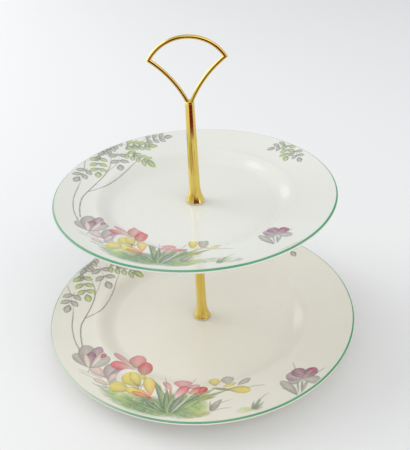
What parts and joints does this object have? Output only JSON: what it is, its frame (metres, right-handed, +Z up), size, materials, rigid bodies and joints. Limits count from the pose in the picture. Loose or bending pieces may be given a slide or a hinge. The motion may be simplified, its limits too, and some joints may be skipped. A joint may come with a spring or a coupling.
{
  "type": "tiered cake stand",
  "caption": "Two-tier cake stand: rimmed ceramic plates on a screwed gold-plated column with a fan-shaped wire handle.",
  "frame": {"origin": "on the table, on the column's axis", "axes": "+Z up along the column, +X across the fan handle, -Y towards the viewer, who sees the fan's full width"},
  "size_m": [0.254, 0.254, 0.2514],
  "materials": {
    "plate_glaze": "glossy, transfer-printed",
    "gold_plate": "polished",
    "soft_washer": "matte",
    "stud_steel": "brushed"
  },
  "bodies": {
    "lower_tier": {"lower_plate": "plate_glaze", "base_soft_washer": "soft_washer", "lower_foot_washer": "soft_washer"},
    "lower_post": {"lower_column": "gold_plate", "base_screw": "gold_plate", "base_metal_washer": "gold_plate", "joining_stud": "stud_steel", "support_washer": "gold_plate"},
    "upper_tier": {"upper_plate": "plate_glaze", "upper_soft_washer": "soft_washer"},
    "handle_washer": {"upper_foot_washer": "soft_washer"},
    "handle": {"upper_column": "gold_plate", "handle_boss": "gold_plate", "handle_stud": "stud_steel", "handle_side_left": "gold_plate", "handle_side_right": "gold_plate", "handle_arch": "gold_plate"}
  },
  "joints": [
    {"name": "post_turn", "type": "hinge", "parent": "lower_tier", "child": "lower_post", "pos_m": [0, 0, 0.0105], "axis": [0, 0, 1], "continuous": true},
    {"name": "upper_plate_turn", "type": "hinge", "parent": "lower_post", "child": "upper_tier", "pos_m": [0, 0, 0.1183], "axis": [0, 0, 1], "continuous": true},
    {"name": "handle_rise", "type": "slide", "parent": "lower_post", "child": "handle_washer", "axis": [0, 0, 1], "range_m": [0, 0.0098]},
    {"name": "handle_unscrew", "type": "hinge", "parent": "handle_washer", "child": "handle", "pos_m": [0, 0, 0.1248], "axis": [0, 0, 1], "range_deg": [0, 5042]}
  ],
  "couplings": [
    {"joint": "handle_unscrew", "follows": "handle_rise", "rad_per_m": 8976}
  ]
}
